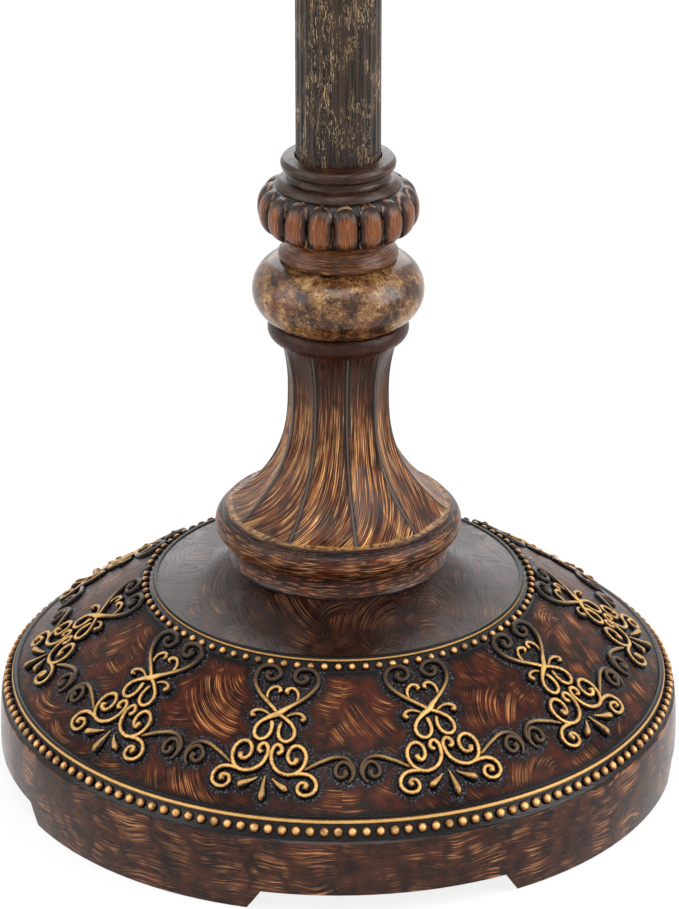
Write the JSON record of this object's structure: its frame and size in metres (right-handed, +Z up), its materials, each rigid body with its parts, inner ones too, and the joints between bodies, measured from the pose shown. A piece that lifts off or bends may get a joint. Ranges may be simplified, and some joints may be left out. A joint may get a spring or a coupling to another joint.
{
  "type": "candlestick floor lamp",
  "caption": "Tall candlestick floor lamp with a domed base on bracket feet, fluted pedestal, stone ring, gadrooned collar, fluted tube and a tapered fabric shade.",
  "frame": {"origin": "centre of the base on the floor", "axes": "+Z up along the lamp's axis, -Y to the front, +X to the right seen from the front"},
  "size_m": [0.4351, 0.4352, 1.5552],
  "materials": {
    "resin": "dark red-brown lacquer over cast resin, brushed copper strokes, gilt lines",
    "stone": "polished brown granite-like stone",
    "tube_paint": "charcoal brown lacquer with worn gilt streaks",
    "gilt_ring": "antique gold paint",
    "steel": "zinc plated",
    "cast_iron": "as cast",
    "cover_paint": "black enamel",
    "pad_rubber": "matt",
    "black_rubber": "matt",
    "brass": "antique brass, satin",
    "liner_card": "plain",
    "phenolic": "black",
    "aluminium": "satin",
    "black_glass": "black glass",
    "frosted_glass": "frosted white",
    "frame_wire": "brass plated wire",
    "shade_cloth": "cream linen weave",
    "braid": "gold brown braid"
  },
  "bodies": {
    "stand": {"foot_pads": "pad_rubber", "base_casting": "resin", "ballast_disc": "cast_iron", "base_washer": "steel", "base_nut": "steel", "bottom_cover": "cover_paint", "cover_screws": "steel", "cord_bushing": "black_rubber", "lower_rod": "steel", "pedestal_casting": "resin", "stone_ring": "stone", "gadroon_collar": "resin", "lower_plug": "steel", "lower_tube": "tube_paint", "tube_coupling": "gilt_ring", "upper_tube": "tube_paint", "upper_plug": "steel", "upper_rod": "steel", "upper_collar": "resin", "upper_stone_ring": "stone", "candle_cup": "resin", "drip_pan": "resin", "harp_saddle": "brass", "socket_cap": "brass", "socket_shell": "brass", "socket_liner": "liner_card", "socket_interior": "phenolic", "screw_shell": "aluminium", "centre_contact": "brass"},
    "switch": {"switch_shaft": "brass", "switch_knob": "phenolic"},
    "bulb": {"bulb_contact": "steel", "bulb_insulator": "black_glass", "bulb_cap": "aluminium", "bulb_globe": "frosted_glass"},
    "harp": {"harp": "brass"},
    "harp_sleeve_left": {"harp_sleeve_left": "brass"},
    "harp_sleeve_right": {"harp_sleeve_right": "brass"},
    "shade": {"shade_spider": "frame_wire", "shade_bottom_ring": "frame_wire", "shade_ribs": "frame_wire", "shade_fabric": "shade_cloth", "shade_top_trim": "braid", "shade_bottom_trim": "braid"},
    "finial": {"finial": "brass"}
  },
  "joints": [
    {"name": "switch_turn", "type": "hinge", "parent": "stand", "child": "switch", "pos_m": [0, -0.03, 1.3016], "axis": [0, -1, 0], "continuous": true},
    {"name": "bulb_turn", "type": "hinge", "parent": "stand", "child": "bulb", "pos_m": [0, 0, 1.33], "axis": [0, 0, 1], "continuous": true},
    {"name": "harp_lift", "type": "slide", "parent": "stand", "child": "harp", "axis": [0, 0, 1], "range_m": [0, 0.03]},
    {"name": "left_sleeve_lift", "type": "slide", "parent": "harp", "child": "harp_sleeve_left", "axis": [0, 0, 1], "range_m": [0, 0.01]},
    {"name": "right_sleeve_lift", "type": "slide", "parent": "harp", "child": "harp_sleeve_right", "axis": [0, 0, 1], "range_m": [0, 0.01]},
    {"name": "shade_turn", "type": "hinge", "parent": "harp", "child": "shade", "pos_m": [0, 0, 1.508], "axis": [0, 0, 1], "continuous": true},
    {"name": "finial_turn", "type": "hinge", "parent": "harp", "child": "finial", "pos_m": [0, 0, 1.51], "axis": [0, 0, 1], "continuous": true}
  ]
}
